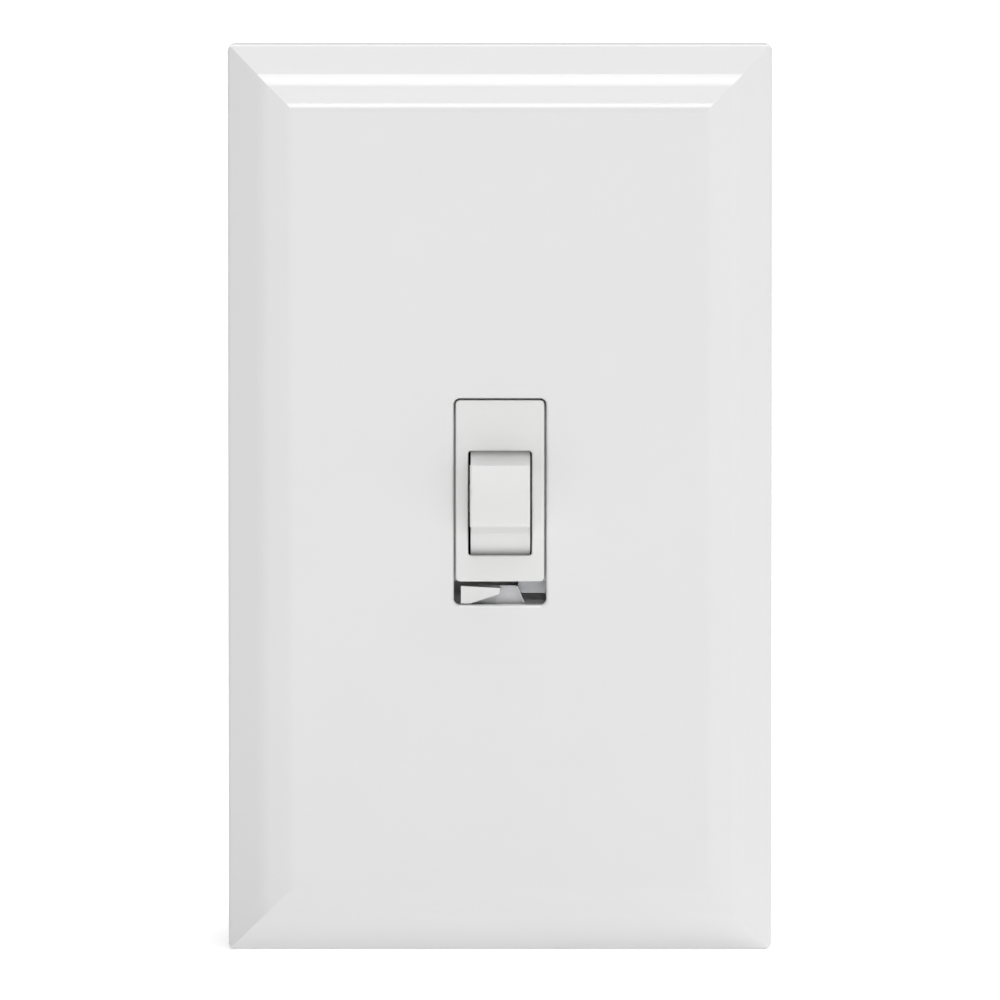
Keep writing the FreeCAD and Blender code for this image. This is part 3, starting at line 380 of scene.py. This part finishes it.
def make_threaded_screws(name, node, centres, seat_y, tip_y, crest, pitch):
    """Screws with real threads in place of the CAD node's plain shanks."""
    outward = 1 if seat_y > tip_y else -1

    def build(bm):
        head_faces(bm, node, seat_y, outward, HEAD_MARGIN)
        for x, z in centres:
            inside = seat_y + outward * THREAD_START
            skin(bm, thread_rings(x, z, inside, tip_y, crest * THREAD_CORE, crest, pitch))

    obj = mesh_object(name, build, SLOTS[node])
    mark_sharp_edges(obj)
    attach(obj, BODY_OF[node])
    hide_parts(node)


def mark_sharp_edges(obj):
    """Welds the mesh and marks its sharp edges, where smooth shading stops."""
    bm = bmesh.new()
    bm.from_mesh(obj.data)
    bmesh.ops.remove_doubles(bm, verts=bm.verts, dist=WELD)
    for edge in bm.edges:
        if len(edge.link_faces) == 2 and edge.calc_face_angle(0.0) > SHARP_EDGE:
            edge.smooth = False
    bm.to_mesh(obj.data)
    bm.free()


make_spring()

for end in ("upper", "lower"):
    screw_node = "swing_screw_" + end
    low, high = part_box(screw_node)
    middle = (low + high) / 2
    make_threaded_screws("swing_thread_" + end, screw_node, [(middle.x, middle.z)],
                         low.y + SWING_HEAD_H, high.y, SWING_THREAD_R, SWING_PITCH)
    bar_node = "cable_bar_screws_" + end
    low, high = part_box(bar_node)
    middle = (low + high) / 2
    offset = (high.x - low.x) / 2 - BAR_HEAD_R
    make_threaded_screws("cable_bar_thread_" + end, bar_node,
                         [(middle.x - offset, middle.z), (middle.x + offset, middle.z)],
                         low.y + BAR_HEAD_H, high.y, BAR_THREAD_R, BAR_PITCH)


# ------------------------------------------------------- floor, light, camera

lowest = CAD_BOUNDS[0].z
corners = ((-1, -1), (1, -1), (1, 1), (-1, 1))
floor_mesh = bpy.data.meshes.new("floor")
floor_mesh.from_pydata([(x * FLOOR_REACH, y * FLOOR_REACH, lowest) for x, y in corners], [], [(0, 1, 2, 3)])
floor = bpy.data.objects.new("floor", floor_mesh)
bpy.context.scene.collection.objects.link(floor)
floor_surface = Surface("pale_floor")
floor_tone = floor_surface.noise(3.0, 2.0)
floor_surface.colour(floor_surface.ramp(floor_tone, ((0.3, (0.80, 0.80, 0.80)), (0.7, (0.82, 0.82, 0.82)))))
floor_surface.set(Roughness=0.9, Specular_IOR_Level=0.1)
# A soft glow keeps the floor white and lights the object's lower bevel
floor_surface.set(Emission_Color=(1, 1, 1, 1), Emission_Strength=FLOOR_GLOW)
floor.data.materials.append(floor_surface.material)


def area_light(name, azimuth, elevation, distance, size, power):
    """Soft box aimed at the origin; azimuth 0 is in front, 90 to the right."""
    light = bpy.data.lights.new(name, "AREA")
    light.shape = "RECTANGLE"
    light.size, light.size_y = size
    light.energy = power
    obj = bpy.data.objects.new(name, light)
    a, e = math.radians(azimuth), math.radians(elevation)
    away = Vector((math.sin(a) * math.cos(e), -math.cos(a) * math.cos(e), math.sin(e)))
    obj.location = away * distance
    obj.rotation_mode = "QUATERNION"
    obj.rotation_quaternion = (-away).to_track_quat("-Z", "Y")
    bpy.context.scene.collection.objects.link(obj)


area_light("high_strip", 0, 47, 2.0, (0.5, 0.9), 11)
area_light("low_strip", 0, 20, 2.6, (0.6, 0.10), 8.0)
area_light("front_fill", 32, 8, 3.2, (2.4, 0.8), 6.0)

sun_data = bpy.data.lights.new("overhead", "SUN")
sun_data.energy = OVERHEAD_ENERGY
sun_data.angle = OVERHEAD_ANGLE
sun = bpy.data.objects.new("overhead", sun_data)
sun.rotation_euler = OVERHEAD_TURN
bpy.context.scene.collection.objects.link(sun)

# White surround, brighter towards the right
world = bpy.data.worlds.new("studio")
bpy.context.scene.world = world
world.use_nodes = True
tree = world.node_tree
tree.nodes.clear()
world_out = tree.nodes.new("ShaderNodeOutputWorld")
background = tree.nodes.new("ShaderNodeBackground")
coordinates = tree.nodes.new("ShaderNodeTexCoord")
slope = tree.nodes.new("ShaderNodeVectorMath")
slope.operation = "DOT_PRODUCT"
slope.inputs[1].default_value = (SKY_SLOPE, 0.0, 0.0)
tree.links.new(coordinates.outputs["Generated"], slope.inputs[0])
level = tree.nodes.new("ShaderNodeMath")
level.operation = "ADD"
level.inputs[1].default_value = SKY_LEVEL
tree.links.new(slope.outputs["Value"], level.inputs[0])
tree.links.new(level.outputs["Value"], background.inputs["Strength"])
background.inputs["Color"].default_value = (1, 1, 1, 1)
tree.links.new(background.outputs["Background"], world_out.inputs["Surface"])

camera_data = bpy.data.cameras.new("camera")
camera = bpy.data.objects.new("camera", camera_data)
bpy.context.scene.collection.objects.link(camera)
bpy.context.scene.camera = camera
camera_data.sensor_width = SENSOR_WIDTH
camera_data.lens = SENSOR_WIDTH * CAMERA_DISTANCE / FRAME_WIDTH
camera_data.clip_start = 0.1
camera_data.clip_end = 50.0
back = Vector((0, -math.cos(CAMERA_ELEVATION), math.sin(CAMERA_ELEVATION)))
upward = Vector((0, math.sin(CAMERA_ELEVATION), math.cos(CAMERA_ELEVATION)))
camera.location = upward * -CAMERA_DROP + back * CAMERA_DISTANCE
camera.rotation_mode = "QUATERNION"
camera.rotation_quaternion = (-back).to_track_quat("-Z", "Y")

# Plain colour response, so that white plastic renders at its own tone
bpy.context.scene.view_settings.view_transform = "Standard"
